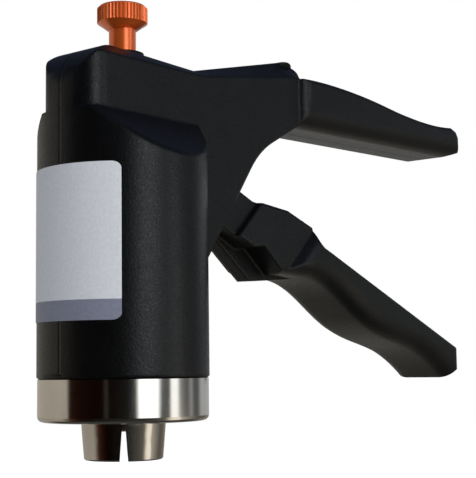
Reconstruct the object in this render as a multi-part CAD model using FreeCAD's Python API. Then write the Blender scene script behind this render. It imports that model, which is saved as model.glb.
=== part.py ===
"""Hand-held decapper for 11 mm crimp caps: a squeeze lever drives a cone that closes four jaws."""
import os

import FreeCAD
import Part
from math import asin, cos, pi, radians, sin, sqrt, tan

# Frame: origin on the jaws' axis at their tips, +Z up to the knob, +X towards the handles, millimetres.
V = FreeCAD.Vector
UP = V(0, 0, 1)
ACROSS = V(0, 1, 0)

# Body, collar and upper block
housing_radius = 19.2
collar_radius = 19.0
collar_bottom = 8.4
collar_top = 17.7
collar_edge_round = 1.2
collar_floor = 1.7
collar_hole_radius = 9.75
housing_bottom_edge = 0.5
block_half_width = 8.5
block_top = 90.6
block_front_round = 10.0
block_top_dip = 0.7
block_edge_slope = 2.4
block_rear_inset = 3.0
ramp_edge_inset = 3.0
ramp_edge_drop = 4.3
arm_end_inset = 3.6
web_edge_round = 0.9
corner_round = 6.0
shoulder_top = 76.0
shoulder_angle = 42.0
shoulder_edge = 0.8
front_notch_half_width = 3.8
front_notch_offset = 3.2
front_notch_height = 1.0
front_notch_depth = 0.9
screw_boss_radius = 4.9
screw_boss_height = 0.8

# Arm that carries the upper grip
ramp_start = 18.2
ramp_angle = 13.6
ramp_end = 50.5
arm_end = 59.9
arm_end_back = 3.3
arm_end_dip = 0.35
arm_end_drop = 3.4
arm_bottom_lift = 1.5
web_foot = (17.0, 41.0)
web_angle = 54.4
web_straight = 33.4
web_curve_radius = 25.0
web_curve_end_angle = 28.0
grip_half_width = 10.5
grip_bottom = 81.3
grip_bottom_rise = 1.2
grip_start = 50.0
grip_flare_start = 55.8
grip_flare_length = 3.6
grip_bottom_round = 5.0
grip_edge_round = 1.2
grip_corner_round = 4.0
grip_wall = 2.6
grip_top_line = ((55.0, 93.9), (64.0, 94.3), (73.0, 94.2), (91.0, 93.0), (101.0, 91.9), (112.0, 91.1), (121.0, 90.9), (131.0, 91.5))
grip_tip = ((133.6, 90.7), (135.4, 88.4), (137.1, 86.0), (136.6, 84.6), (131.5, 82.9))

# Walls inside the housing
housing_wall = 2.0
web_floor = 5.2
lever_slot_rise = 10.5

# Clearances
fit_gap = 0.05
free_gap = 0.3
face_gap = 0.1

# Lever: pivot, swing and outer form
pivot = (22.7, 61.0)
nose_reach = 23.0
nose_rest_angle = 8.0
lever_swing = 22.0
hub_radius = 5.5
nose_ear_radius = 3.2
inner_arm_half_width = 4.9
tang_half_width = 6.6
pad_half_width = 8.0
pad_crease_half_width = 8.8
facet_angle = 44.4
pad_shoulder = -14.56
pad_crease = -7.0
flare_start = 3.5
flare_length = 5.0
rib_half_width = 2.0
rib_corner = (42.6, 41.3)
rib_front_top = (28.4, 51.8)
rib_rear_corner = (49.8, 41.8)
lever_top_line = ((38.5, 60.5), (49.8, 59.0), (60.5, 55.5))
lever_grip_top = ((61.6, 52.4), (64.6, 49.9))
lever_tip = ((130.0, 24.6), (131.6, 22.9), (130.9, 19.6), (127.2, 16.2))
lever_underside = ((121.5, 19.6), (112.0, 23.7), (97.0, 27.3), (86.0, 31.1), (73.5, 38.2), (60.0, 42.6))
pad_underside = ((48.6, 43.1), (40.5, 49.5), (37.0, 49.1), (29.2, 52.7))
lever_bottom_round = 5.0
lever_corner_round = 3.0

# Pivot, bush, washers and nose roller
pivot_pin_radius = 2.5
pivot_bush_radius = 3.6
thrust_washer_thickness = 0.6
thrust_washer_radius = 4.4
housing_boss_radius = 4.5
roller_radius = 4.0
roller_half_width = 2.3
roller_pin_radius = 1.5

# Jaws
mouth_radius = 6.1
mouth_height = 1.3
jaw_tip_radius = 8.78
jaw_neck_radius = 9.4
jaw_seat_radius = 1.2
jaw_seat_half_width = 5.0
jaw_shoulder = 12.6
jaw_arm_radius = 8.0
jaw_arm_top = 26.0
jaw_chamber_radius = 6.6
jaw_chamber_top = 8.4
jaw_bore_radius = 4.6
jaw_bore_top = 19.0
jaw_square_half = 3.0
jaw_gap = 0.12
jaw_hinge_radius = 9.95
jaw_swing = 5.8
ring_below_top = 4.0
ring_height = jaw_arm_top - ring_below_top
ring_wire_radius = 0.85
ring_groove_depth = 0.95

# Barrel, bush, plunger and springs
barrel_radius = 13.5
barrel_bore_low = 10.7
barrel_bore_high = 11.6
barrel_bottom = 13.6
barrel_step = 28.0
barrel_top = 54.0
bush_flange = 2.5
bush_top = 41.8
bush_wall = 1.7
plunger_radius = 6.5
plunger_top = 56.0
plunger_shoulder = 36.8
plunger_nose = 24.5
spring_bore_radius = 3.2
spring_bore_bottom = 37.0
cap_flange_radius = 11.0
cap_flange_bottom = 51.0
cap_flange_thickness = 2.0
cap_button_radius = 7.4
return_wire = 0.8
return_turns = 4
seat_washer = 0.8
ejector_stem_radius = 1.4
ejector_head_radius = 4.0
ejector_head_bottom = 6.2
ejector_head_thickness = 1.5
ejector_collar_radius = 2.95
ejector_collar_thickness = 1.5
ejector_spigot = 2.5
ejector_wire = 0.4
ejector_turns = 4

# Adjusting screw, its pad and its threaded insert
screw_neck_radius = 3.1
screw_thread_radius = 2.95
screw_neck_depth = 3.4
screw_neck_showing = 5.6
knob_radius = 5.57
knob_taper_height = 1.5
knob_rim_height = 3.6
knob_chamfer = 0.4
pad_radius = 4.2
pad_thickness = 3.0
pad_stem_radius = 1.5
pad_nose_gap = 1.6
insert_radius = 4.8
insert_bottom = 77.0
insert_top = 85.0

# Housing screws, driven in from the far side
screw_radius = 1.25
screw_head_radius = 2.4
screw_head_thickness = 1.8
screw_tip = 5.5
screw_head_recess = 1.2
body_screw_place = (15.9, 24.5)
block_screw_places = ((14.0, 82.0), (46.0, 89.0))
grip_screw_places = ((70.0, 88.0), (124.0, 86.2))
pin_play = 0.15

# Label
label_thickness = 0.12
label_half_angle = 44.0
label_bottom = 30.1
label_top = 63.65
label_corner = 1.5

# Places worked out from the sizes above
nose_rest = (pivot[0] - nose_reach * cos(radians(nose_rest_angle)),
             pivot[1] + nose_reach * sin(radians(nose_rest_angle)))
plunger_travel = nose_reach * (sin(radians(nose_rest_angle)) + sin(radians(lever_swing - nose_rest_angle)))
cap_top = nose_rest[1] - roller_radius - pin_play
pad_bottom = nose_rest[1] + roller_radius + pad_nose_gap
pad_top = pad_bottom + pad_thickness
slot_half_width = tang_half_width + free_gap
bush_bottom = barrel_step
seat_top = bush_bottom + bush_flange + seat_washer
collar_lip_top = collar_bottom + collar_floor
jaw_hinge_height = collar_lip_top + face_gap + jaw_seat_radius
knob_bottom = block_top + screw_boss_height + screw_neck_showing
knob_rim_bottom = knob_bottom + knob_taper_height
knob_rim_top = knob_rim_bottom + knob_rim_height
knob_top = knob_rim_top + knob_chamfer
screw_neck_bottom = block_top + screw_boss_height - screw_neck_depth
ramp_slope = tan(radians(ramp_angle))
ramp_foot = (ramp_start, block_top - block_top_dip)
ramp_top = (ramp_end, ramp_foot[1] + (ramp_end - ramp_start) * ramp_slope)
everywhere = 4 * grip_tip[2][0]


def xz(point):
    """A point of the side view as a place in space."""
    return V(point[0], 0, point[1])


def revolved(outline):
    """A solid of revolution about the jaws' axis from (radius, height) points."""
    wire = Part.makePolygon([V(r, 0, z) for r, z in outline] + [V(outline[0][0], 0, outline[0][1])])
    return Part.Face(wire).revolve(V(0, 0, 0), UP, 360)


def side_plate(edges, half_width):
    """A plate cut to a side-view outline, centred on the middle plane."""
    face = Part.Face(Part.Wire(edges))
    plate = face.extrude(ACROSS * (2 * half_width))
    plate.translate(-ACROSS * half_width)
    return plate


def side_polygon(points, half_width):
    """A plate whose side-view outline is a polygon."""
    corners = [xz(p) for p in points] + [xz(points[0])]
    return side_plate(Part.makePolygon(corners).Edges, half_width)


def across_cylinder(radius, place, low_y, high_y):
    """A cylinder lying across the body."""
    return Part.makeCylinder(radius, high_y - low_y, V(place[0], low_y, place[1]), ACROSS)


def line(start, end):
    return Part.LineSegment(xz(start), xz(end)).toShape()


def arc(start, middle, end):
    return Part.Arc(xz(start), xz(middle), xz(end)).toShape()


def smooth(points):
    """A smooth curve through side-view points."""
    curve = Part.BSplineCurve()
    curve.interpolate([xz(p) for p in points])
    return curve.toShape()


def ring(inner, outer, bottom, top):
    return Part.makeCylinder(outer, top - bottom, V(0, 0, bottom)).cut(
        Part.makeCylinder(inner, top - bottom + 2, V(0, 0, bottom - 1)))


def save(node, shape):
    """Write one node's solids to its file."""
    shape.exportStep("parts/" + node + ".step")


def screw_places():
    """Where the housing screws cross the middle plane."""
    return [body_screw_place] + list(block_screw_places) + list(grip_screw_places)


def far_surface(place):
    """How far out the far side of the housing lies at a screw."""
    if place in grip_screw_places:
        return grip_half_width
    if place in block_screw_places:
        return block_half_width
    return sqrt(housing_radius ** 2 - place[0] ** 2) - screw_head_recess


def round_body():
    """The round lower body with its two sloping shoulders and a shallow notch at the foot of its front."""
    form = Part.makeCylinder(housing_radius, shoulder_top - collar_top, V(0, 0, collar_top))
    bottom_edge = [e for e in form.Edges if e.BoundBox.ZMax < collar_top + 0.01 and e.BoundBox.XLength > 1]
    form = form.makeChamfer(housing_bottom_edge, bottom_edge)
    reach = housing_radius + 1
    drop = (reach - block_half_width) / tan(radians(90 - shoulder_angle))
    section = [V(-reach, -reach, collar_top - 1), V(-reach, reach, collar_top - 1),
               V(-reach, reach, shoulder_top - drop), V(-reach, block_half_width, shoulder_top),
               V(-reach, -block_half_width, shoulder_top), V(-reach, -reach, shoulder_top - drop)]
    wedge = Part.Face(Part.makePolygon(section + [section[0]])).extrude(V(2 * reach, 0, 0))
    form = form.common(wedge)
    rims = [e for e in form.Edges if e.BoundBox.ZLength > 1 and e.BoundBox.XLength > 1]
    form = form.makeChamfer(shoulder_edge, rims)
    notch = Part.makeBox(2 * front_notch_depth, 2 * front_notch_half_width, front_notch_height + 1,
                         V(-housing_radius - front_notch_depth, front_notch_offset - front_notch_half_width,
                           collar_top - 1))
    return form.cut(notch)


def web_points():
    """Start and end of the straight rear edge of the web, and of the curve above it."""
    a, b = radians(web_angle), radians(web_curve_end_angle)
    straight_end = (web_foot[0] + web_straight * cos(a), web_foot[1] + web_straight * sin(a))
    centre = (straight_end[0] + web_curve_radius * sin(a), straight_end[1] - web_curve_radius * cos(a))
    middle_angle = (a + b) / 2
    middle = (centre[0] - web_curve_radius * sin(middle_angle), centre[1] + web_curve_radius * cos(middle_angle))
    end = (centre[0] - web_curve_radius * sin(b), centre[1] + web_curve_radius * cos(b))
    return straight_end, middle, end


def block_plan(far_end, height):
    """The block seen from above: a front that follows the round body, with its upright corners rounded."""
    front_form = Part.makeCylinder(housing_radius, height)
    rear_form = Part.makeBox(far_end, 4 * block_half_width, height, V(0, -2 * block_half_width, 0))
    flat = Part.makeBox(far_end + 2 * housing_radius, 2 * block_half_width, height,
                        V(-2 * housing_radius, -block_half_width, 0))
    plan = front_form.fuse(rear_form).common(flat)
    plan = plan.common(Part.makeBox(far_end + 2 * housing_radius, 4 * block_half_width, height,
                                    V(-2 * housing_radius, -2 * block_half_width, 0)))
    corner_x = -sqrt(housing_radius ** 2 - block_half_width ** 2)
    corners = [e for e in plan.Edges
               if e.BoundBox.ZLength > height - 1 and abs(e.CenterOfMass.x - corner_x) < 0.1]
    return plan.makeFillet(corner_round, corners)


def front_edge_cutter():
    """What the sloped edge round the flat front part of the block takes away."""
    rear = 2 * housing_radius
    plan = block_plan(rear, block_top)
    rims = [e for e in plan.Edges if e.BoundBox.ZMin > block_top - 0.01 and e.BoundBox.XMin < rear - 0.1]
    sloped = plan.makeChamfer(block_edge_slope, rims)
    low = block_top - block_edge_slope
    above = Part.makeBox(block_front_round + housing_radius, 4 * block_half_width, 2 * block_edge_slope,
                         V(-2 * housing_radius, -2 * block_half_width, low))
    return above.cut(sloped)


def arm_end_points():
    """The end and the middle of the curve that rounds the arm's upper rear corner."""
    end_top = (arm_end, ramp_top[1] - arm_end_drop)
    end_middle = (arm_end - arm_end_back, ramp_top[1] - arm_end_dip)
    return end_top, end_middle


def upper_block():
    """The flat-sided block, ramp and web, cut to one side-view outline."""
    front = -housing_radius
    r = block_front_round
    diagonal = r * (1 - cos(pi / 4))
    end_top, end_middle = arm_end_points()
    straight_end, curve_middle, curve_end = web_points()
    arm_low = grip_bottom + arm_bottom_lift
    arm_bottom = (curve_end[0] + (arm_low - curve_end[1]) / tan(radians(web_curve_end_angle)), arm_low)
    edges = [
        line((front, web_foot[1]), (front, block_top - r)),
        arc((front, block_top - r), (front + diagonal, block_top - diagonal), (front + r, block_top)),
        line((front + r, block_top), ramp_foot),
        line(ramp_foot, ramp_top),
        arc(ramp_top, end_middle, end_top),
        line(end_top, (arm_end, arm_low)),
        line((arm_end, arm_low), arm_bottom),
        line(arm_bottom, curve_end),
        arc(curve_end, curve_middle, straight_end),
        line(straight_end, web_foot),
        line(web_foot, (front, web_foot[1])),
    ]
    block = side_plate(edges, block_half_width).common(block_plan(arm_end + 1, ramp_top[1] + 1)).removeSplitter()

    def on_side(edge):
        return edge.BoundBox.YLength < 0.01 and abs(abs(edge.CenterOfMass.y) - block_half_width) < 0.01

    rear = [e for e in block.Edges if on_side(e) and e.BoundBox.XMin > web_foot[0] - 0.01
            and e.BoundBox.ZMax < arm_low + 0.01 and e.BoundBox.XLength > 1 and e.BoundBox.ZLength > 1]
    block = block.makeFillet(web_edge_round, rear).cut(front_edge_cutter())
    for side in (-1, 1):
        for cutter in ramp_edge_cutters(side):
            block = block.cut(cutter)
    return block


def ramp_edge_cutters(side):
    """Wedges that slope the side edge of the top and the ramp, and round the arm's end."""
    end_top, end_middle = arm_end_points()
    a = radians(ramp_angle)
    slope_end = block_top - block_edge_slope
    stations = [
        ((block_front_round - housing_radius, block_top), (0.0, 1.0), block_edge_slope, block_edge_slope),
        (ramp_foot, (0.0, 1.0), block_rear_inset, ramp_foot[1] - slope_end),
        (ramp_top, (-sin(a), cos(a)), ramp_edge_inset, ramp_edge_drop),
        (end_middle, (0.6, 0.8), ramp_edge_inset, ramp_edge_drop),
        (end_top, (1.0, 0.0), ramp_edge_inset, arm_end_inset),
        ((arm_end, grip_top_line[0][1] - 3), (1.0, 0.0), ramp_edge_inset, arm_end_inset),
    ]
    outside = 4.0
    sections = []
    for (x, z), (out_x, out_z), inset, drop in stations:
        inner = V(x, side * (block_half_width - inset), z)
        lower = V(x - drop * out_x, side * block_half_width, z - drop * out_z)
        clear = V(x + outside * out_x, side * (block_half_width + outside), z + outside * out_z)
        sections.append(Part.makePolygon([inner, lower, clear, inner]))
    return [Part.makeLoft([a, b], True, True) for a, b in zip(sections, sections[1:])]


def flare_arc(start, length, half_from, half_to):
    """A plan curve that leaves a crease steeply and runs smoothly into the wider side."""
    rise = half_to - half_from
    r = (length ** 2 + rise ** 2) / (2 * rise)
    a = asin(length / r)
    middle = V(start + length - r * sin(a / 2), half_to - r + r * cos(a / 2), 0)
    return [V(start, half_from, 0), middle, V(start + length, half_to, 0)]


def grip_plan():
    """The upper grip seen from above, with its flare and its rounded far corners."""
    far, w, r = grip_tip[2][0], grip_half_width, grip_corner_round
    flare = flare_arc(grip_flare_start, grip_flare_length, block_half_width - 0.2, w)
    q = r * sin(pi / 4)
    corner = [V(far - r, w, 0), V(far - r + q, w - r + q, 0), V(far, w - r, 0)]

    def mirrored(p):
        return V(p.x, -p.y, p.z)

    start = V(grip_start - 1, flare[0].y, 0)
    edges = [
        Part.LineSegment(start, flare[0]).toShape(),
        Part.Arc(*flare).toShape(),
        Part.LineSegment(flare[2], corner[0]).toShape(),
        Part.Arc(*corner).toShape(),
        Part.LineSegment(corner[2], mirrored(corner[2])).toShape(),
        Part.Arc(mirrored(corner[2]), mirrored(corner[1]), mirrored(corner[0])).toShape(),
        Part.LineSegment(mirrored(corner[0]), mirrored(flare[2])).toShape(),
        Part.Arc(mirrored(flare[2]), mirrored(flare[1]), mirrored(flare[0])).toShape(),
        Part.LineSegment(mirrored(flare[0]), mirrored(start)).toShape(),
        Part.LineSegment(mirrored(start), start).toShape(),
    ]
    return Part.Face(Part.Wire(edges)).extrude(UP * (2 * block_top))


def upper_grip():
    """The fixed grip: wider than the arm, rounded below, with a slanted tip."""
    start_low = (grip_start, grip_bottom)
    start_high = (grip_start, grip_top_line[0][1])
    edges = [line(start_high, grip_top_line[0]), smooth(grip_top_line), line(grip_top_line[-1], grip_tip[0])]
    edges += [line(a, b) for a, b in zip(grip_tip, grip_tip[1:])]
    edges += [line(grip_tip[-1], start_low), line(start_low, start_high)]
    profile = side_plate(edges, grip_half_width)
    rims = [e for e in profile.Edges if e.BoundBox.YLength < 0.01 and e.BoundBox.XMin > grip_top_line[0][0] - 0.01
            and e.BoundBox.ZMin > grip_tip[2][1] - 0.01]
    profile = profile.makeFillet(grip_edge_round, rims)
    w, r = grip_half_width, grip_bottom_round
    low, high = grip_bottom, grip_bottom + 3 * r
    q = r * (1 - cos(pi / 4))
    section = [
        Part.LineSegment(V(0, -w, high), V(0, -w, low + r)).toShape(),
        Part.Arc(V(0, -w, low + r), V(0, -w + q, low + q), V(0, -w + r, low)).toShape(),
        Part.LineSegment(V(0, -w + r, low), V(0, w - r, low)).toShape(),
        Part.Arc(V(0, w - r, low), V(0, w - q, low + q), V(0, w, low + r)).toShape(),
        Part.LineSegment(V(0, w, low + r), V(0, w, high)).toShape(),
        Part.LineSegment(V(0, w, high), V(0, -w, high)).toShape(),
    ]
    trough = Part.Face(Part.Wire(section)).extrude(V(everywhere, 0, 0))
    trough.rotate(V(grip_start, 0, grip_bottom), ACROSS, -grip_bottom_rise)
    return profile.common(grip_plan()).common(trough)


def housing_form():
    """The closed outer form of both housing halves together."""
    boss = Part.makeCylinder(screw_boss_radius, screw_boss_height + 2, V(0, 0, block_top - 2))
    return round_body().fuse([upper_block(), upper_grip(), boss]).removeSplitter()


def lever_slot():
    """The space that the lever swings in, open at the rear edge of the web."""
    rear = 2 * arm_end
    left = nose_rest[0] - roller_radius - 4 * free_gap
    floor_front = barrel_radius + housing_wall
    web_low = web_foot[1] + web_floor
    top = pivot[1] + lever_slot_rise
    outline = [(left, barrel_top), (floor_front, barrel_top), (floor_front + 2, web_low + 2),
               (web_foot[0] + 3.5, web_low), (rear, web_low), (rear, top), (left, top)]
    slot = side_polygon(outline, slot_half_width)
    inner = inner_arm_half_width + thrust_washer_thickness + fit_gap
    for side in (-1, 1):
        low = inner if side > 0 else -slot_half_width - 1
        slot = slot.cut(across_cylinder(housing_boss_radius, pivot, low, low + slot_half_width + 1 - inner))
    return slot


def inner_spaces():
    """Everything that is hollow inside the housing."""
    spaces = [
        Part.makeCylinder(barrel_radius + fit_gap, barrel_top - collar_top + 1, V(0, 0, collar_top - 1)),
        Part.makeCylinder(cap_flange_radius + 0.8, 4.0, V(0, 0, barrel_top)),
        Part.makeCylinder(cap_button_radius + 0.8, cap_top + 2 - barrel_top, V(0, 0, barrel_top)),
        Part.makeCylinder(pad_radius + 0.4, insert_bottom - pivot[1], V(0, 0, pivot[1])),
        Part.makeCylinder(insert_radius + fit_gap, insert_top - insert_bottom + 0.1, V(0, 0, insert_bottom - 0.1)),
        Part.makeCylinder(screw_neck_radius + 0.25, block_top + 5 - insert_top, V(0, 0, insert_top - 0.1)),
        lever_slot(),
        across_cylinder(pivot_pin_radius + fit_gap, pivot, -slot_half_width - 1.0, slot_half_width + 1.0),
    ]
    first, last = grip_screw_places
    low = grip_bottom + grip_wall + 0.8
    high = grip_top_line[-2][1] - grip_wall
    half = grip_half_width - grip_wall
    bay = Part.makeBox(last[0] - first[0] - 10, 2 * half, high - low, V(first[0] + 5, -half, low))
    spaces.append(bay)
    return spaces


def screw_holes():
    """Clearance holes and head recesses in the far half, pilot holes in the near half."""
    holes = []
    for place in screw_places():
        surface = far_surface(place)
        head_low = surface - screw_head_recess - screw_head_thickness
        holes.append(across_cylinder(screw_head_radius + 0.2, place, head_low, surface + 8))
        holes.append(across_cylinder(screw_radius + fit_gap, place, -screw_tip - 0.3, head_low + 0.1))
    return holes


def housing_halves():
    form = housing_form()
    for space in inner_spaces():
        form = form.cut(space)
    for hole in screw_holes():
        form = form.cut(hole)
    size = everywhere
    near = form.common(Part.makeBox(size, size, size, V(-size / 2, -size, -size / 2)))
    far = form.common(Part.makeBox(size, size, size, V(-size / 2, 0, -size / 2)))
    return near, far


def housing_screws():
    solids = []
    for place in screw_places():
        head_low = far_surface(place) - screw_head_recess - screw_head_thickness
        shank = across_cylinder(screw_radius, place, -screw_tip, head_low)
        head = across_cylinder(screw_head_radius, place, head_low, head_low + screw_head_thickness)
        solids.append(shank.fuse(head).removeSplitter())
    return Part.makeCompound(solids)


def label():
    inner = housing_radius + fit_gap
    shell = ring(inner, inner + label_thickness, label_bottom, label_top)
    half = housing_radius * sin(radians(label_half_angle))
    r = label_corner
    plate = Part.makeBox(2 * housing_radius, 2 * half, label_top - label_bottom,
                         V(-2 * housing_radius, -half, label_bottom))
    corners = [e for e in plate.Edges if e.BoundBox.XLength > housing_radius]
    return shell.common(plate.makeFillet(r, corners))


def collar():
    """The ring, with its lower outer edge rounded in three steps."""
    inside = barrel_radius + fit_gap
    low, top, r = collar_bottom, collar_top, collar_edge_round
    rounded = [(collar_radius - r + r * sin(a), low + r - r * cos(a)) for a in (0.0, pi / 6, pi / 3, pi / 2)]
    return revolved([(collar_hole_radius, low)] + rounded + [(collar_radius, top), (inside, top),
                    (inside, collar_lip_top), (collar_hole_radius, collar_lip_top)])


def barrel():
    return revolved([(barrel_bore_low, barrel_bottom), (barrel_radius, barrel_bottom),
                     (barrel_radius, barrel_top), (barrel_bore_high, barrel_top),
                     (barrel_bore_high, barrel_step), (barrel_bore_low, barrel_step)])


def guide_bush():
    bore = plunger_radius + fit_gap
    flange = barrel_bore_high - fit_gap
    flange_top = bush_bottom + bush_flange
    return revolved([(bore, bush_bottom), (flange, bush_bottom), (flange, flange_top),
                     (bore + bush_wall, flange_top), (bore + bush_wall, bush_top), (bore, bush_top)])


def jaw_ring_form():
    """The outline of all four jaws turned about the axis, before it is slit."""
    groove = jaw_arm_radius - ring_groove_depth
    groove_half = ring_wire_radius + 0.1
    outer = [(jaw_tip_radius - 0.3, 0), (jaw_tip_radius, 0.3), (jaw_neck_radius, collar_bottom),
             (jaw_neck_radius, jaw_shoulder), (jaw_arm_radius, jaw_shoulder + 1.0),
             (jaw_arm_radius, ring_height - groove_half), (groove, ring_height - groove_half),
             (groove, ring_height + groove_half), (jaw_arm_radius, ring_height + groove_half),
             (jaw_arm_radius, jaw_arm_top - 0.6), (jaw_arm_radius - 0.6, jaw_arm_top)]
    square_corner = jaw_square_half - 0.5
    inner = [(square_corner, jaw_arm_top), (square_corner, jaw_bore_top), (jaw_bore_radius, jaw_bore_top),
             (jaw_bore_radius, jaw_chamber_top), (jaw_chamber_radius, jaw_chamber_top),
             (jaw_chamber_radius, mouth_height + 0.5), (mouth_radius, mouth_height), (mouth_radius, 0)]
    form = revolved(outer + inner)
    side = 2 * jaw_square_half
    square = Part.makeBox(side, side, jaw_arm_top - jaw_bore_top + 1,
                          V(-jaw_square_half, -jaw_square_half, jaw_bore_top))
    return form.cut(square)


def jaw_sector():
    """One quarter of the space about the axis, narrowed below the hinge so that closed jaws just clear."""
    reach = 2 * jaw_neck_radius
    open_gap = jaw_gap + jaw_hinge_height * sin(radians(jaw_swing)) * 1.02

    def triangle(height, gap):
        return Part.makePolygon([V(gap, 0, height), V(gap + reach, -reach, height),
                                 V(gap + reach, reach, height), V(gap, 0, height)])

    lower = Part.makeLoft([triangle(0, open_gap), triangle(jaw_hinge_height, jaw_gap)], True, True)
    upper = Part.Face(triangle(jaw_hinge_height, jaw_gap)).extrude(UP * (jaw_arm_top + 1 - jaw_hinge_height))
    return lower.fuse(upper)


def jaw_seat():
    """The bar across a jaw that rolls on the collar's lip: a plate with a round edge about the jaw's hinge."""
    r, half = jaw_seat_radius, jaw_seat_half_width
    start = jaw_bore_radius + 1.2
    plate = Part.makeBox(jaw_hinge_radius - start, 2 * half, 2 * r, V(start, -half, jaw_hinge_height - r))
    return plate.fuse(across_cylinder(r, (jaw_hinge_radius, jaw_hinge_height), -half, half))


def jaws():
    """The four jaws by name, each a quarter of the ring, the first one towards the handles."""
    sector = jaw_sector()
    base = jaw_ring_form().common(sector).fuse(jaw_seat().common(sector)).removeSplitter()
    named = {}
    for turn, name in enumerate(("jaw_back", "jaw_far", "jaw_front", "jaw_near")):
        jaw = base.copy()
        jaw.rotate(V(0, 0, 0), UP, 90 * turn)
        named[name] = jaw
    return named


def jaw_ring():
    centre_radius = jaw_arm_radius - ring_groove_depth + ring_wire_radius + face_gap
    corners = wire_corners(centre_radius, ring_height, ring_wire_radius, 8)
    return revolved(corners)


def wire_corners(radius, height, wire, sides):
    """A many-sided section of a round wire, as (radius, height) points."""
    return [(radius + wire * cos(2 * pi * i / sides), height + wire * sin(2 * pi * i / sides))
            for i in range(sides)]


def cone_radius_top():
    """The cone's radius where the jaws' arms touch it at the end of the squeeze."""
    a = radians(jaw_swing)
    arm = jaw_arm_top - jaw_hinge_height
    edge_x = jaw_hinge_radius - (jaw_hinge_radius - jaw_square_half) * cos(a) + arm * sin(a)
    edge_z = jaw_hinge_height + (jaw_hinge_radius - jaw_square_half) * sin(a) + arm * cos(a)
    return edge_x - 0.2, edge_z + plunger_travel


def plunger():
    start_radius = jaw_square_half - 0.2
    top_radius, top_height = cone_radius_top()
    slope = (top_radius - start_radius) / (top_height - jaw_arm_top)
    nose_radius = start_radius - slope * (jaw_arm_top - plunger_nose)
    bore = ejector_stem_radius + face_gap
    return revolved([(bore, plunger_nose), (nose_radius, plunger_nose), (top_radius, top_height),
                     (plunger_radius, plunger_shoulder), (plunger_radius, plunger_top),
                     (spring_bore_radius, plunger_top), (spring_bore_radius, spring_bore_bottom),
                     (bore, spring_bore_bottom)])


def plunger_head():
    inside = plunger_radius + fit_gap
    ceiling = plunger_top + fit_gap
    neck = cap_flange_bottom + cap_flange_thickness
    body = revolved([(inside, cap_flange_bottom), (cap_flange_radius, cap_flange_bottom),
                     (cap_flange_radius, neck), (cap_button_radius + 0.8, neck + 0.8),
                     (cap_button_radius, neck + 2.5), (cap_button_radius, cap_top - 0.5),
                     (cap_button_radius - 0.5, cap_top), (0, cap_top), (0, ceiling), (inside, ceiling)])
    return body


def coil(radius, wire, bottom, top, turns):
    """A compression spring whose outermost wire touches neither seat."""
    height = top - bottom - 2 * wire - 2 * face_gap
    pitch = height / turns
    path = Part.makeHelix(pitch, height, radius)
    corners = [xz(p) for p in wire_corners(radius, 0, wire, 4)]
    section = Part.makePolygon(corners + corners[:1])
    spring = Part.Wire(path).makePipeShell([section], True, True)
    spring.translate(V(0, 0, bottom + wire + face_gap))
    return spring


def return_spring():
    bore = plunger_radius + fit_gap + bush_wall
    radius = (bore + cap_flange_radius) / 2
    return coil(radius, return_wire, seat_top, cap_flange_bottom, return_turns)


def spring_washer():
    bore = plunger_radius + fit_gap + bush_wall + face_gap
    return ring(bore, barrel_bore_high - face_gap, bush_bottom + bush_flange, seat_top)


def ejector_collar_bottom():
    return spring_bore_bottom + face_gap


def ejector_pin():
    low = ejector_head_bottom
    head_top = low + ejector_head_thickness
    flange_low = ejector_collar_bottom()
    flange_top = flange_low + ejector_collar_thickness
    return revolved([(0, low), (ejector_head_radius - 0.4, low), (ejector_head_radius, low + 0.4),
                     (ejector_head_radius, head_top), (ejector_stem_radius, head_top + 0.6),
                     (ejector_stem_radius, flange_low), (ejector_collar_radius, flange_low),
                     (ejector_collar_radius, flange_top), (ejector_stem_radius, flange_top),
                     (ejector_stem_radius, flange_top + ejector_spigot), (0, flange_top + ejector_spigot)])


def ejector_spring():
    radius = (ejector_stem_radius + spring_bore_radius) / 2 + 0.1
    bottom = ejector_collar_bottom() + ejector_collar_thickness
    return coil(radius, ejector_wire, bottom, plunger_top + fit_gap, ejector_turns)


def facet_prism():
    """Everything within the lever's width, which changes along the facets' direction."""
    far = everywhere
    steps = [(-far, tang_half_width), (pad_shoulder - 0.5, tang_half_width), (pad_shoulder, pad_half_width),
             (pad_crease, pad_crease_half_width), (flare_start, pad_crease_half_width - 0.2)]
    upper = [V(u, h, 0) for u, h in steps]
    flare = flare_arc(flare_start, flare_length, steps[-1][1], grip_half_width)
    edges = [Part.LineSegment(p, q).toShape() for p, q in zip(upper, upper[1:])]
    edges.append(Part.Arc(*flare).toShape())
    edges.append(Part.LineSegment(flare[2], V(far, grip_half_width, 0)).toShape())
    edges.append(Part.LineSegment(V(far, grip_half_width, 0), V(far, 0, 0)).toShape())
    edges.append(Part.LineSegment(V(far, 0, 0), V(-far, 0, 0)).toShape())
    edges.append(Part.LineSegment(V(-far, 0, 0), upper[0]).toShape())
    half = Part.Face(Part.Wire(edges)).extrude(UP * (2 * far))
    half.translate(-UP * far)
    whole = half.fuse(half.mirror(V(0, 0, 0), ACROSS)).removeSplitter()
    whole.rotate(V(0, 0, 0), ACROSS, 90 - facet_angle)
    return whole


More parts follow.
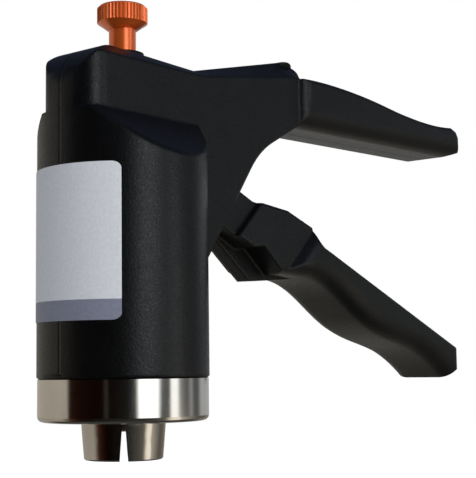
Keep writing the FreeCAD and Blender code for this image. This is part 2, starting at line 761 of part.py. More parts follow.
def lever_outer():
    """Tang, pads and grip in one side-view outline, cut to the widths of the facets."""
    hub_top = (pivot[0] + 2.0, pivot[1] + sqrt(hub_radius ** 2 - 4.0))
    hub_low = (pivot[0] - 0.5, pivot[1] - hub_radius + 0.1)
    top = [hub_top] + list(lever_top_line)
    edges = [line(hub_low, (pivot[0] - 0.5, pivot[1])), line((pivot[0] - 0.5, pivot[1]), hub_top)]
    edges.append(line(hub_top, lever_top_line[0]))
    edges += [line(a, b) for a, b in zip(lever_top_line, lever_top_line[1:])]
    edges.append(line(lever_top_line[-1], lever_grip_top[0]))
    dip = ((lever_grip_top[0][0] + lever_grip_top[1][0]) / 2 - 0.3,
           (lever_grip_top[0][1] + lever_grip_top[1][1]) / 2 - 0.35)
    edges.append(arc(lever_grip_top[0], dip, lever_grip_top[1]))
    edges.append(line(lever_grip_top[1], lever_tip[0]))
    for start, end in zip(lever_tip, lever_tip[1:]):
        edges.append(line(start, end))
    edges.append(smooth((lever_tip[-1],) + lever_underside))
    edges.append(line(lever_underside[-1], pad_underside[0]))
    for start, end in zip(pad_underside, pad_underside[1:]):
        edges.append(line(start, end))
    edges.append(line(pad_underside[-1], hub_low))
    plate = side_plate(edges, grip_half_width)
    start, end = lever_underside[-1], lever_tip[-1]
    long_bottom = [e for e in plate.Edges if e.BoundBox.YLength < 0.01
                   and abs(e.BoundBox.XMin - start[0]) < 0.1 and abs(e.BoundBox.XMax - end[0]) < 0.1]
    plate = plate.makeFillet(lever_bottom_round, long_bottom)
    return plate.common(facet_prism()).common(rounded_end(max(p[0] for p in lever_tip)))


def rounded_end(far):
    """All that lies before the lever's end, with the two corners rounded in plan."""
    w = grip_half_width
    plan = Part.makeBox(far, 2 * w, 2 * pivot[1], V(0, -w, 0))
    corners = [e for e in plan.Edges if e.BoundBox.XMin > far - 0.01 and e.BoundBox.YLength < 0.01]
    return plan.makeFillet(lever_corner_round, [e for e in corners if e.BoundBox.ZLength > 1])


def lever_rib():
    """The narrow rib under the pads."""
    outline = [(pivot[0], pivot[1] - 4.0), rib_front_top, rib_corner, rib_rear_corner, lever_underside[-1],
               (52.0, 46.0), (42.0, 53.0), (28.0, 57.0)]
    return side_polygon(outline, rib_half_width)


def lever():
    """Inner arm with its fork, hub, tang, pads, rib and grip in one moulding."""
    n, p = nose_rest, pivot
    arm = [(n[0], n[1] - nose_ear_radius), (n[0] + 9.0, n[1] - nose_ear_radius - 0.2),
           (p[0] - 3.4, p[1] - 4.3), (p[0], p[1]), (p[0] + 2.0, p[1] + sqrt(hub_radius ** 2 - 4.0)),
           (p[0], p[1] + hub_radius), (n[0], n[1] + nose_ear_radius)]
    inner = side_polygon(arm, inner_arm_half_width)
    w = inner_arm_half_width
    inner = inner.fuse([across_cylinder(nose_ear_radius, n, -w, w), across_cylinder(hub_radius, p, -w, w)])
    outer = lever_outer()
    recess = housing_boss_radius + 0.9
    for side in (-1, 1):
        low = w if side > 0 else -2 * w
        outer = outer.cut(across_cylinder(recess, p, low, low + w))
    body = inner.fuse([outer, lever_rib()])
    half = roller_half_width + free_gap
    fork_end = roller_radius + 0.8
    body = body.cut(Part.makeBox(2 * fork_end, 2 * half, 4 * fork_end, V(n[0] - fork_end, -half, n[1] - 2 * fork_end)))
    body = body.cut(across_cylinder(pivot_bush_radius + 0.02, p, -2 * w, 2 * w))
    body = body.cut(across_cylinder(roller_pin_radius + 0.02, n, -2 * w, 2 * w))
    return body.removeSplitter()


def pivot_bush():
    w = inner_arm_half_width
    outer = across_cylinder(pivot_bush_radius, pivot, -w, w)
    return outer.cut(across_cylinder(pivot_pin_radius + fit_gap, pivot, -w - 1, w + 1))


def pivot_pin():
    reach = slot_half_width + 0.8
    return across_cylinder(pivot_pin_radius, pivot, -reach, reach)


def thrust_washers():
    low = inner_arm_half_width + fit_gap / 2
    solids = []
    for start in (low, -low - thrust_washer_thickness):
        washer = across_cylinder(thrust_washer_radius, pivot, start, start + thrust_washer_thickness)
        solids.append(washer.cut(across_cylinder(pivot_pin_radius + fit_gap, pivot, start - 1, start + 2)))
    return Part.makeCompound(solids)


def nose_roller():
    w = roller_half_width
    wheel = across_cylinder(roller_radius, nose_rest, -w, w)
    wheel = wheel.makeChamfer(0.4, [e for e in wheel.Edges if e.BoundBox.YLength < 0.01])
    return wheel.cut(across_cylinder(roller_pin_radius + fit_gap, nose_rest, -w - 1, w + 1))


def roller_pin():
    w = inner_arm_half_width
    return across_cylinder(roller_pin_radius, nose_rest, -w, w)


def adjusting_screw():
    """Knob, neck, threaded shank and the stem that carries the pad, turned in one piece."""
    stem_low = pad_bottom + 1.2
    return revolved([(0, stem_low), (pad_stem_radius, stem_low), (pad_stem_radius, pad_top + fit_gap),
                     (screw_thread_radius, pad_top + fit_gap), (screw_thread_radius, screw_neck_bottom),
                     (screw_neck_radius, screw_neck_bottom), (screw_neck_radius, knob_bottom),
                     (screw_neck_radius + 0.4, knob_bottom), (knob_radius, knob_rim_bottom),
                     (knob_radius, knob_rim_top), (knob_radius - knob_chamfer, knob_top), (0, knob_top)])


def stop_pad():
    bore = pad_stem_radius + fit_gap
    floor = pad_bottom + 1.1
    return revolved([(0, pad_bottom), (pad_radius - 0.5, pad_bottom), (pad_radius, pad_bottom + 0.5),
                     (pad_radius, pad_top), (bore, pad_top), (bore, floor), (0, floor)])


def threaded_insert():
    return ring(screw_thread_radius + fit_gap, insert_radius, insert_bottom, insert_top)


def build():
    os.makedirs("parts", exist_ok=True)
    near, far = housing_halves()
    nodes = {
        "housing_near": near,
        "housing_far": far,
        "housing_screws": housing_screws(),
        "label": label(),
        "collar": collar(),
        "barrel": barrel(),
        "guide_bush": guide_bush(),
        "jaw_ring": jaw_ring(),
        "plunger": plunger(),
        "plunger_head": plunger_head(),
        "return_spring": return_spring(),
        "spring_washer": spring_washer(),
        "ejector_pin": ejector_pin(),
        "ejector_spring": ejector_spring(),
        "lever": lever(),
        "pivot_bush": pivot_bush(),
        "pivot_pin": pivot_pin(),
        "thrust_washers": thrust_washers(),
        "nose_roller": nose_roller(),
        "roller_pin": roller_pin(),
        "adjusting_screw": adjusting_screw(),
        "stop_pad": stop_pad(),
        "threaded_insert": threaded_insert(),
    }
    nodes.update(jaws())
    for name, shape in nodes.items():
        save(name, shape)
        print(name, "solids", len(shape.Solids), "valid", shape.isValid(), "volume", round(shape.Volume, 1))


build()
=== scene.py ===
"""A hand-held vial decapper in a plain white studio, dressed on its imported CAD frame."""
from math import cos, radians, sin

import bmesh
import bpy
from mathutils import Matrix, Vector


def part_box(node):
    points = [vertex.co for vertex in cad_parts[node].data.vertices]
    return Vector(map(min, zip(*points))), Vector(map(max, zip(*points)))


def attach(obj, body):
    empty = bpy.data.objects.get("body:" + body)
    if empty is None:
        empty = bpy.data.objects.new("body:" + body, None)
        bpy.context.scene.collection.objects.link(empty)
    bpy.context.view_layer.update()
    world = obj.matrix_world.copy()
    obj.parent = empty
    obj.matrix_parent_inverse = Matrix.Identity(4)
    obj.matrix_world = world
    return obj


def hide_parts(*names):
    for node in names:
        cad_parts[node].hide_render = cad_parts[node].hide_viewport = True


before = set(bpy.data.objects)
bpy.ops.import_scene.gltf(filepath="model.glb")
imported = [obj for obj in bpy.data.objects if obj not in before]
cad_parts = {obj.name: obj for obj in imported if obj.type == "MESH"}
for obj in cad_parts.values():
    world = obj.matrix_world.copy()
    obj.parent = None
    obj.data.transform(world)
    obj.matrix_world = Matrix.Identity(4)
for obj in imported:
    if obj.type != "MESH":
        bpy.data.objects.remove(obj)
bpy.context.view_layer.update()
MM = 0.001


# Camera: a long lens a little below the middle of the tool, looking slightly up at its front and near side.
camera_place = Vector((-0.20063, -0.19895, 0.01985))
camera_forward = Vector((0.76761, 0.63277, 0.10182)).normalized()
camera_roll = -0.0125
camera_lens = 94.55
level_right = camera_forward.cross(Vector((0, 0, 1))).normalized()
level_up = level_right.cross(camera_forward)
camera_right = level_right * cos(camera_roll) + level_up * sin(camera_roll)
camera_up = level_up * cos(camera_roll) - level_right * sin(camera_roll)
camera_data = bpy.data.cameras.new("camera")
camera_data.lens = camera_lens
camera_data.sensor_width = 36.0
camera_data.clip_start = 0.01
camera_data.clip_end = 50.0
camera = bpy.data.objects.new("camera", camera_data)
turn = Matrix((camera_right, camera_up, -camera_forward)).transposed()
camera.matrix_world = Matrix.Translation(camera_place) @ turn.to_4x4()
bpy.context.collection.objects.link(camera)
bpy.context.scene.camera = camera
bpy.context.scene.view_settings.view_transform = "Standard"


# Studio: a white floor well below the tool and a ring of light and dark cards round it that only gloss sees.
# The camera sees plain white behind the tool, and the lamps give soft light that isn't mirrored.
def new_material(name):
    """A material with its node tree and its main shader."""
    material = bpy.data.materials.new(name)
    material.use_nodes = True
    tree = material.node_tree
    shader = tree.nodes["Principled BSDF"]
    return material, tree, shader


def place_mesh(name, mesh):
    """An object at the origin that holds this mesh."""
    item = bpy.data.objects.new(name, mesh)
    bpy.context.collection.objects.link(item)
    return item


def maths(tree, operation, first, second=None):
    """A maths node on sockets or plain numbers."""
    node = tree.nodes.new("ShaderNodeMath")
    node.operation = operation
    for place, value in enumerate((first, second)):
        if value is None:
            continue
        if isinstance(value, (int, float)):
            node.inputs[place].default_value = value
        else:
            tree.links.new(value, node.inputs[place])
    return node.outputs[0]


def spread_between(tree, source, from_low, from_high, to_low, to_high):
    """Maps one range of a value on another and stops at its ends."""
    node = tree.nodes.new("ShaderNodeMapRange")
    node.inputs["From Min"].default_value = from_low
    node.inputs["From Max"].default_value = from_high
    node.inputs["To Min"].default_value = to_low
    node.inputs["To Max"].default_value = to_high
    tree.links.new(source, node.inputs["Value"])
    return node.outputs["Result"]


# The cards stand round the tool. Each entry gives a bearing in degrees, the brightness there and a tint. The
# bright ones are soft boxes, the dark ones black cards and the warm ones a pale wall. The second ring is what
# gloss sees in the floor.
brightest_card = 2.6
warm, cold, ember = (1.0, 0.95, 0.84), (0.90, 0.95, 1.0), (1.0, 0.35, 0.20)
card_ring = (
    (0, 0.50, cold), (44, 0.48, cold), (62, 0.46, warm), (145, 0.50, warm), (149, 0.012, ember),
    (198, 0.006, ember), (202, 0.05, warm), (206, 0.006, ember), (231, 0.012, cold), (241, 0.06, cold),
    (246, 2.6, cold), (270, 2.6, cold), (275, 0.16, cold), (288, 0.08, cold), (291, 1.80, cold),
    (300, 1.80, cold), (305, 0.38, cold), (314, 0.16, cold), (320, 0.14, cold), (326, 0.42, cold),
    (333, 0.12, cold), (342, 0.12, cold), (352, 0.52, cold), (360, 0.50, cold),
)
floor_ring = (
    (0, 0.14, warm), (30, 0.30, warm), (62, 0.38, warm), (133, 0.42, warm), (150, 0.06, ember),
    (163, 0.02, ember), (179, 0.004, ember), (224, 0.01, warm), (245, 0.03, warm), (267, 0.07, warm),
    (283, 0.16, warm), (293, 1.2, warm), (304, 1.3, warm), (310, 0.5, warm), (323, 0.30, warm),
    (343, 0.12, warm), (360, 0.14, warm),
)
overhead = (0.055, 0.07, 0.12)
overhead_start, overhead_full = radians(15), radians(23)


def ring_colour(tree, east, north, levels):
    """A ring's colour towards a place, as a share of the brightest card."""
    share = maths(tree, "DIVIDE", maths(tree, "ARCTAN2", north, east), radians(360))
    whole_turn = maths(tree, "FRACT", maths(tree, "ADD", share, 1.0))
    ring = tree.nodes.new("ShaderNodeValToRGB")
    stops = ring.color_ramp.elements
    stops.remove(stops[1])
    for place, (degrees, level, tint) in enumerate(levels):
        stop = stops[0] if place == 0 else stops.new(degrees / 360)
        stop.position = degrees / 360
        stop.color = (*[c * level / brightest_card for c in tint], 1)
    tree.links.new(whole_turn, ring.inputs["Fac"])
    return ring.outputs["Color"]


def glow(tree, kind, colour, strength):
    """An emission or background shader of a colour or of a colour socket."""
    node = tree.nodes.new(kind)
    node.inputs["Strength"].default_value = strength
    if isinstance(colour, tuple):
        node.inputs["Color"].default_value = (*colour, 1)
    else:
        tree.links.new(colour, node.inputs["Color"])
    return node.outputs[0]


def mixed(tree, share, first, second):
    """Two shaders mixed by a socket's share."""
    node = tree.nodes.new("ShaderNodeMixShader")
    tree.links.new(share, node.inputs[0])
    tree.links.new(first, node.inputs[1])
    tree.links.new(second, node.inputs[2])
    return node.outputs[0]


floor_height, floor_radius = -0.075, 1.6
floor_paint, floor_lift, floor_shade = 0.80, 0.85, 0.06
floor_near, floor_far = 0.10, 0.17
floor_material, tree, shader = new_material("studio_floor")
floor_material.cycles.emission_sampling = "NONE"
shader.inputs["Base Color"].default_value = (floor_paint, floor_paint, floor_paint, 1)
shader.inputs["Roughness"].default_value = 0.9
shader.inputs["Specular IOR Level"].default_value = 0.0
shader.inputs["Emission Color"].default_value = (1, 1, 1, 1)
ray = tree.nodes.new("ShaderNodeLightPath")
lifted = maths(tree, "MULTIPLY", ray.outputs["Is Camera Ray"], floor_lift)
tree.links.new(lifted, shader.inputs["Emission Strength"])
where = tree.nodes.new("ShaderNodeTexCoord")
apart = tree.nodes.new("ShaderNodeSeparateXYZ")
tree.links.new(where.outputs["Object"], apart.inputs["Vector"])
east, north = apart.outputs["X"], apart.outputs["Y"]
# For glossy rays the floor is not lit but glows. Near the tool it is a dim patch, painted shade under it, and
# farther out a ring of painted card reflections.
near_floor = glow(tree, "ShaderNodeEmission", (1, 1, 1), floor_shade)
far_floor = glow(tree, "ShaderNodeEmission", ring_colour(tree, east, north, floor_ring), brightest_card)
square_away = maths(tree, "ADD", maths(tree, "MULTIPLY", east, east), maths(tree, "MULTIPLY", north, north))
away = maths(tree, "SQRT", square_away)
mirrored = mixed(tree, spread_between(tree, away, floor_near, floor_far, 0.0, 1.0), near_floor, far_floor)
tree.links.new(mixed(tree, ray.outputs["Is Glossy Ray"], shader.outputs[0], mirrored),
               tree.nodes["Material Output"].inputs["Surface"])
floor_form = bmesh.new()
bmesh.ops.create_circle(floor_form, cap_ends=True, segments=96, radius=floor_radius,
                        matrix=Matrix.Translation((0, 0, floor_height)))
floor_mesh = bpy.data.meshes.new("studio_floor")
floor_form.to_mesh(floor_mesh)
floor_form.free()
floor_mesh.materials.append(floor_material)
place_mesh("studio_floor", floor_mesh)

plain_light, plain_level = (0.80, 0.86, 1.0), 0.16
world = bpy.data.worlds.new("studio")
bpy.context.scene.world = world
world.cycles.sampling_method = "NONE"
world.use_nodes = True
tree = world.node_tree
tree.nodes.remove(tree.nodes["Background"])
where = tree.nodes.new("ShaderNodeTexCoord")
apart = tree.nodes.new("ShaderNodeSeparateXYZ")
tree.links.new(where.outputs["Generated"], apart.inputs["Vector"])
east, north = apart.outputs["X"], apart.outputs["Y"]
cards = glow(tree, "ShaderNodeBackground", ring_colour(tree, east, north, card_ring), brightest_card)
sky = glow(tree, "ShaderNodeBackground", overhead, 1.0)
raised = spread_between(tree, apart.outputs["Z"], sin(overhead_start), sin(overhead_full), 0.0, 1.0)
mirrored = mixed(tree, raised, cards, sky)
ray = tree.nodes.new("ShaderNodeLightPath")
plain = glow(tree, "ShaderNodeBackground", plain_light, plain_level)
white = glow(tree, "ShaderNodeBackground", (1, 1, 1), 1.0)
seen_by_others = mixed(tree, ray.outputs["Is Glossy Ray"], plain, mirrored)
tree.links.new(mixed(tree, ray.outputs["Is Camera Ray"], seen_by_others, white),
               tree.nodes["World Output"].inputs["Surface"])

target = Vector((0.04, 0, 0.05))
soft_boxes = (
    ("key_light", (-0.10, -0.75, 0.45), 0.60, 0.60, 5.2, (1.0, 0.98, 0.95)),
    ("top_light", (0.25, 0.25, 0.95), 0.70, 0.70, 4.0, (0.92, 0.96, 1.0)),
    ("front_light", (-0.80, 0.25, 0.20), 0.35, 0.80, 1.0, (1.0, 0.97, 0.93)),
)
for name, place, width, height, power, tint in soft_boxes:
    lamp = bpy.data.lights.new(name, "AREA")
    lamp.shape = "RECTANGLE"
    lamp.size = width
    lamp.size_y = height
    lamp.energy = power
    lamp.color = tint
    holder = bpy.data.objects.new(name, lamp)
    holder.location = place
    holder.rotation_euler = (target - Vector(place)).to_track_quat("-Z", "Y").to_euler()
    holder.visible_glossy = False
    bpy.context.collection.objects.link(holder)


# Housing: two moulded halves of fine-grained black nylon that meet in the middle plane, with body, web and
# upper grip in one. They are screwed together from the far side, and a thin parting line shows at the front.
merge_distance, sliver_length = 0.002 * MM, 0.001 * MM
large_face_weight = 90
texture_low, texture_high = 0.3, 0.7
ramp_low, ramp_high = 0.35, 0.65


def evaluated_mesh(item):
    """The plain mesh that an object's modifiers make."""
    bpy.context.view_layer.update()
    return bpy.data.meshes.new_from_object(item.evaluated_get(bpy.context.evaluated_depsgraph_get()))


def smoothed_copy(node_name, piece_name, sharpest_degrees, material):
    """A merged copy of a node's loose triangles, smooth except across its edges. It stands for the node."""
    mesh = bpy.data.meshes.new(piece_name)
    form = bmesh.new()
    form.from_mesh(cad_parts[node_name].data)
    bmesh.ops.remove_doubles(form, verts=form.verts, dist=merge_distance)
    bmesh.ops.dissolve_degenerate(form, edges=form.edges, dist=sliver_length)
    form.to_mesh(mesh)
    form.free()
    for layer in [a.name for a in mesh.attributes if a.name == "custom_normal"]:
        mesh.attributes.remove(mesh.attributes[layer])
    mesh.polygons.foreach_set("use_smooth", [True] * len(mesh.polygons))
    mesh.set_sharp_from_angle(angle=radians(sharpest_degrees))
    mesh.materials.clear()
    mesh.materials.append(material)
    mesh.polygons.foreach_set("material_index", [0] * len(mesh.polygons))
    mesh.update()
    piece = place_mesh(piece_name, mesh)
    even = piece.modifiers.new("even", "WEIGHTED_NORMAL")
    even.keep_sharp = True
    even.weight = large_face_weight
    piece.data = evaluated_mesh(piece)
    piece.data.name = piece_name
    piece.modifiers.clear()
    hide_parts(node_name)
    return piece


def object_noise(tree, scale, detail, stretch=(1, 1, 1)):
    """Noise on the object's own coordinates, stretched along its axes."""
    where = tree.nodes.new("ShaderNodeTexCoord")
    mapping = tree.nodes.new("ShaderNodeMapping")
    mapping.inputs["Scale"].default_value = stretch
    noise = tree.nodes.new("ShaderNodeTexNoise")
    noise.inputs["Scale"].default_value = scale
    noise.inputs["Detail"].default_value = detail
    tree.links.new(where.outputs["Object"], mapping.inputs["Vector"])
    tree.links.new(mapping.outputs["Vector"], noise.inputs["Vector"])
    return noise


def ranged(tree, source, low, high):
    """Spreads a texture's middle values between two levels."""
    return spread_between(tree, source, texture_low, texture_high, low, high)


def tinted(tree, source, dark, light):
    """Mixes two colours by a texture."""
    ramp = tree.nodes.new("ShaderNodeValToRGB")
    ramp.color_ramp.elements[0].position = ramp_low
    ramp.color_ramp.elements[0].color = (*dark, 1)
    ramp.color_ramp.elements[1].position = ramp_high
    ramp.color_ramp.elements[1].color = (*light, 1)
    tree.links.new(source, ramp.inputs["Fac"])
    return ramp.outputs["Color"]


def bumped(tree, shader, source, depth, edge_radius=0.0):
    """Fine relief from a texture, over edges that the shading rounds off."""
    bump = tree.nodes.new("ShaderNodeBump")
    bump.inputs["Strength"].default_value = 1.0
    bump.inputs["Distance"].default_value = depth
    tree.links.new(source, bump.inputs["Height"])
    if edge_radius:
        soft = tree.nodes.new("ShaderNodeBevel")
        soft.samples = 6
        soft.inputs["Radius"].default_value = edge_radius
        tree.links.new(soft.outputs["Normal"], bump.inputs["Normal"])
    tree.links.new(bump.outputs["Normal"], shader.inputs["Normal"])


def grained(name, metallic, noise, dark, light, smoothest, roughest, depth=0.0):
    """A material that follows one noise, given as its grain in mm, its detail and perhaps a stretch."""
    material, tree, shader = new_material(name)
    shader.inputs["Metallic"].default_value = metallic
    grain_mm, detail, *stretch = noise
    source = object_noise(tree, 1 / (grain_mm * MM), detail, *stretch).outputs["Fac"]
    tree.links.new(tinted(tree, source, dark, light), shader.inputs["Base Color"])
    tree.links.new(ranged(tree, source, smoothest, roughest), shader.inputs["Roughness"])
    if depth:
        bumped(tree, shader, source, depth)
    return material


moulded_angle, turned_angle = 32, 40
grain_size = 0.42 * MM
grain_depth = 0.055 * MM
moulded_edge_round = 1.0 * MM
black_plastic, tree, shader = new_material("black_plastic")
shader.inputs["Specular IOR Level"].default_value = 0.38
grain = object_noise(tree, 1 / grain_size, 3.0)
cloud = object_noise(tree, 1 / (9 * MM), 4.0)
tree.links.new(tinted(tree, cloud.outputs["Fac"], (0.0018, 0.0019, 0.0019), (0.0030, 0.0031, 0.0031)),
               shader.inputs["Base Color"])
tree.links.new(ranged(tree, grain.outputs["Fac"], 0.26, 0.44), shader.inputs["Roughness"])
bumped(tree, shader, grain.outputs["Fac"], grain_depth, moulded_edge_round)

for node_name in ("housing_near", "housing_far"):
    half = smoothed_copy(node_name, node_name + "_moulding", moulded_angle, black_plastic)
    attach(half, "body")


# Housing screws: five pan-head thread-forming screws in counterbores on the far side, each with a cross
# recess.
# They are steel and draw the two halves together. The recess is not cut: a thin, nearly black cross laid on
# each head stands for it as painted shade.
steel = grained("machined_steel", 1.0, (0.5, 3.0), (0.42, 0.42, 0.41), (0.58, 0.58, 0.56), 0.24, 0.40,
                depth=0.004 * MM)
screws = smoothed_copy("housing_screws", "housing_screw_set", moulded_angle, steel)
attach(screws, "body")

# Nearly black steel for the crosses: painted shade where the hollow of each recess would be.
recess_painted_shade = grained("recess_painted_shade", 1.0, (0.3, 3.0), (0.02, 0.02, 0.02), (0.05, 0.05, 0.05), 0.45, 0.60)
head_places = ((15.9, 24.5), (14.0, 82.0), (46.0, 89.0), (70.0, 88.0), (124.0, 86.2))
head_reach = 3.0 * MM
recess_length, recess_width, recess_stand = 2.4 * MM, 0.55 * MM, 0.02 * MM
crosses = bmesh.new()
for x, z in head_places:
    middle = Vector((x * MM, 0, z * MM))
    corners = [v.co for v in screws.data.vertices]
    middle.y = max(c.y for c in corners if (Vector((c.x, 0, c.z)) - middle).length < head_reach)
    for size in ((recess_length, recess_width), (recess_width, recess_length)):
        bar = Matrix.Translation(middle) @ Matrix.Diagonal((size[0], 2 * recess_stand, size[1], 1))
        bmesh.ops.create_cube(crosses, size=1.0, matrix=bar)
# The crosses are painted shade on the screw heads, not cut recesses.
cross_mesh = bpy.data.meshes.new("screw_recess_painted_shade")
crosses.to_mesh(cross_mesh)
crosses.free()
cross_mesh.materials.append(recess_painted_shade)
recess_shade_crosses = place_mesh("screw_recess_painted_shade", cross_mesh)
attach(recess_shade_crosses, "body")


# Label: a printed vinyl sticker, satin, wrapped round the front of the body. It is bare but for a slate-blue
# band along its lower edge.
band_height, print_edge = 4.4 * MM, 0.05 * MM
band_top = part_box("label")[0].z + band_height
vinyl, tree, shader = new_material("label_vinyl")
where = tree.nodes.new("ShaderNodeTexCoord")
height = tree.nodes.new("ShaderNodeSeparateXYZ")
tree.links.new(where.outputs["Object"], height.inputs["Vector"])
above = spread_between(tree, height.outputs["Z"], band_top - print_edge, band_top + print_edge, 0.0, 1.0)
fibre = object_noise(tree, 1 / (0.6 * MM), 2.0)
paper = tinted(tree, fibre.outputs["Fac"], (0.66, 0.69, 0.74), (0.72, 0.75, 0.80))
ink = tinted(tree, fibre.outputs["Fac"], (0.20, 0.215, 0.29), (0.23, 0.245, 0.32))
print_mix = tree.nodes.new("ShaderNodeMix")
print_mix.data_type = "RGBA"
tree.links.new(above, print_mix.inputs["Factor"])
tree.links.new(ink, print_mix.inputs["A"])
tree.links.new(paper, print_mix.inputs["B"])
tree.links.new(print_mix.outputs["Result"], shader.inputs["Base Color"])
shader.inputs["Roughness"].default_value = 0.42
bumped(tree, shader, fibre.outputs["Fac"], 0.006 * MM)
sticker = smoothed_copy("label", "label_sticker", moulded_angle, vinyl)
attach(sticker, "body")


# Collar: a turned steel ring, nickel plated and polished, pressed on the barrel below the housing. Its lower
# edge is rounded, and the jaws hang through its hole.
nickel, tree, shader = new_material("nickel_plate")
shader.inputs["Metallic"].default_value = 1.0
lathe_marks = object_noise(tree, 1 / (0.9 * MM), 2.0, (0.05, 0.05, 6.0))
smear = object_noise(tree, 1 / (14 * MM), 3.0)
tree.links.new(tinted(tree, smear.outputs["Fac"], (0.60, 0.56, 0.50), (0.66, 0.62, 0.56)),
               shader.inputs["Base Color"])
tree.links.new(ranged(tree, lathe_marks.outputs["Fac"], 0.10, 0.15), shader.inputs["Roughness"])
bumped(tree, shader, lathe_marks.outputs["Fac"], 0.0012 * MM)
collar_angle = 12
ring = smoothed_copy("collar", "nickel_collar", collar_angle, nickel)
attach(ring, "body")


# Jaws: four nickel-plated steel fingers parted by tapering slits. They hang in the collar and close on the
# cap.
jaw_angle = 36
for side in ("front", "back", "near", "far"):
    finger = smoothed_copy("jaw_" + side, "jaw_finger_" + side, jaw_angle, nickel)
    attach(finger, side + "_jaw")


# Inside the body: the steel barrel, the bronze guide bush, the plunger with its cap and spring, the sprung
# ejector pin and the rubber ring that holds the jaws open. Almost none of it shows.
bronze = grained("sintered_bronze", 1.0, (0.3, 4.0), (0.40, 0.24, 0.10), (0.60, 0.40, 0.19), 0.35, 0.55,
                 depth=0.01 * MM)
spring_steel = grained("spring_wire", 1.0, (0.4, 3.0), (0.30, 0.30, 0.30), (0.46, 0.46, 0.45), 0.25, 0.38)
rubber = grained("nitrile_rubber", 0.0, (0.8, 3.0), (0.02, 0.02, 0.02), (0.035, 0.035, 0.034), 0.60, 0.75)

hidden_parts = (
    ("barrel", "barrel_tube", "body", steel, "steel"),
    ("guide_bush", "guide_bush_turned", "body", bronze, "bronze"),
    ("plunger", "plunger_cone", "plunger", steel, "steel"),
    ("plunger_head", "plunger_cap", "plunger", steel, "steel"),
    ("return_spring", "return_spring_wire", "body", spring_steel, "spring_steel"),
    ("spring_washer", "spring_seat", "body", steel, "steel"),
    ("ejector_pin", "ejector_rod", "ejector", steel, "steel"),
    ("ejector_spring", "ejector_spring_wire", "plunger", spring_steel, "spring_steel"),
    ("jaw_ring", "jaw_ring_rubber", "body", rubber, "elastic"),
)
for node_name, piece_name, body, material, slot_name in hidden_parts:
    piece = smoothed_copy(node_name, piece_name, turned_angle, material)
    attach(piece, body)


# Lever: tang, faceted pads, rib and curved grip moulded in one from the housing's black nylon.
handle = smoothed_copy("lever", "lever_moulding", moulded_angle, black_plastic)
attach(handle, "lever")


# Lever bearing: a ground pin in a bronze bush, with an acetal washer each side, and the hardened nose roller.
acetal = grained("acetal", 0.0, (2, 2.0), (0.66, 0.65, 0.60), (0.74, 0.73, 0.69), 0.35, 0.45)
bearing_parts = (
    ("pivot_pin", "pivot_pin_ground", "body", steel, "steel"),
    ("pivot_bush", "pivot_bush_turned", "lever", bronze, "bronze"),
    ("thrust_washers", "thrust_washer_pair", "body", acetal, "pad_plastic"),
    ("nose_roller", "nose_roller_ground", "roller", steel, "steel"),
    ("roller_pin", "roller_pin_ground", "lever", steel, "steel"),
)
for node_name, piece_name, body, material, slot_name in bearing_parts:
    piece = smoothed_copy(node_name, piece_name, turned_angle, material)
    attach(piece, body)


# Adjusting screw: knob, neck and shank turned from one bar of aluminium and anodised orange, with a straight
# knurl round the knob. The knurl is one ridge repeated round the rim.
knurl_count = 44
knurl_radius = 5.42 * MM
knurl_low = 98.55 * MM
knurl_high = 102.0 * MM
knurl_width = 0.36 * MM
screw_angle = 36
orange = grained("orange_anodised", 0.62, (0.5, 2.0, (0.1, 0.1, 4.0)), (1.0, 0.16, 0.02), (1.0, 0.20, 0.03),
                 0.28, 0.36, depth=0.0008 * MM)
shader = orange.node_tree.nodes["Principled BSDF"]
shader.inputs["Coat Weight"].default_value = 1.0
shader.inputs["Coat Roughness"].default_value = 0.18


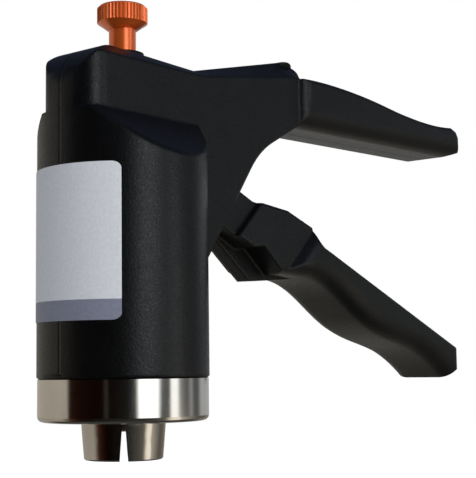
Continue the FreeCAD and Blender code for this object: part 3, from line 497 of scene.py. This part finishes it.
def knurl_tree(material):
    """Geometry nodes that repeat one ridge round the knob's rim."""
    group = bpy.data.node_groups.new("knurl", "GeometryNodeTree")
    group.interface.new_socket("Count", in_out="INPUT", socket_type="NodeSocketInt")
    for socket_name in ("Radius", "Low", "High", "Width"):
        group.interface.new_socket(socket_name, in_out="INPUT", socket_type="NodeSocketFloat")
    group.interface.new_socket("Geometry", in_out="OUTPUT", socket_type="NodeSocketGeometry")
    add = group.nodes.new
    link = group.links.new
    values = add("NodeGroupInput")
    result = add("NodeGroupOutput")
    circle = add("GeometryNodeMeshCircle")
    link(values.outputs["Count"], circle.inputs["Vertices"])
    link(values.outputs["Radius"], circle.inputs["Radius"])
    tall = add("ShaderNodeMath")
    tall.operation = "SUBTRACT"
    link(values.outputs["High"], tall.inputs[0])
    link(values.outputs["Low"], tall.inputs[1])
    ridge = add("GeometryNodeMeshCylinder")
    ridge.inputs["Vertices"].default_value = 4
    link(values.outputs["Width"], ridge.inputs["Radius"])
    link(tall.outputs[0], ridge.inputs["Depth"])
    middle = add("ShaderNodeMath")
    middle.operation = "ADD"
    link(values.outputs["High"], middle.inputs[0])
    link(values.outputs["Low"], middle.inputs[1])
    half = add("ShaderNodeMath")
    half.operation = "MULTIPLY"
    half.inputs[1].default_value = 0.5
    link(middle.outputs[0], half.inputs[0])
    rise = add("ShaderNodeCombineXYZ")
    link(half.outputs[0], rise.inputs["Z"])
    lifted = add("GeometryNodeTransform")
    link(circle.outputs["Mesh"], lifted.inputs["Geometry"])
    link(rise.outputs["Vector"], lifted.inputs["Translation"])
    position = add("GeometryNodeInputPosition")
    aim = add("FunctionNodeAlignRotationToVector")
    aim.axis = "X"
    aim.pivot_axis = "Z"
    link(position.outputs["Position"], aim.inputs["Vector"])
    spread = add("GeometryNodeInstanceOnPoints")
    link(lifted.outputs["Geometry"], spread.inputs["Points"])
    link(ridge.outputs["Mesh"], spread.inputs["Instance"])
    link(aim.outputs["Rotation"], spread.inputs["Rotation"])
    real = add("GeometryNodeRealizeInstances")
    link(spread.outputs["Instances"], real.inputs["Geometry"])
    finish = add("GeometryNodeSetMaterial")
    finish.inputs["Material"].default_value = material
    link(real.outputs["Geometry"], finish.inputs["Geometry"])
    link(finish.outputs["Geometry"], result.inputs["Geometry"])
    return group


def made_by(group, name, values):
    """The plain mesh that a geometry node tree makes from these values."""
    holder = place_mesh(name, bpy.data.meshes.new(name + "_seed"))
    modifier = holder.modifiers.new("nodes", "NODES")
    modifier.node_group = group
    for item in group.interface.items_tree:
        if item.in_out == "INPUT" and item.name in values:
            modifier[item.identifier] = values[item.name]
    made = evaluated_mesh(holder)
    holder.modifiers.clear()
    holder.data = made
    return holder


screw = smoothed_copy("adjusting_screw", "adjusting_screw_turned", screw_angle, orange)
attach(screw, "knob")
knurl_values = {"Count": knurl_count, "Radius": knurl_radius, "Low": knurl_low, "High": knurl_high,
                "Width": knurl_width}
knurl = made_by(knurl_tree(orange), "knob_knurl", knurl_values)
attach(knurl, "knob")


# Stop pad and insert: the acetal pad on the screw's end that the lever's nose meets, and the brass nut that
# the screw runs in, held between the housing halves.
brass = grained("turned_brass", 1.0, (0.6, 3.0), (0.62, 0.43, 0.16), (0.74, 0.55, 0.24), 0.22, 0.34)
for node_name, piece_name, body, material, slot_name in (
    ("stop_pad", "stop_pad_turned", "pad", acetal, "pad_plastic"),
    ("threaded_insert", "threaded_nut", "body", brass, "brass"),
):
    piece = smoothed_copy(node_name, piece_name, turned_angle, material)
    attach(piece, body)
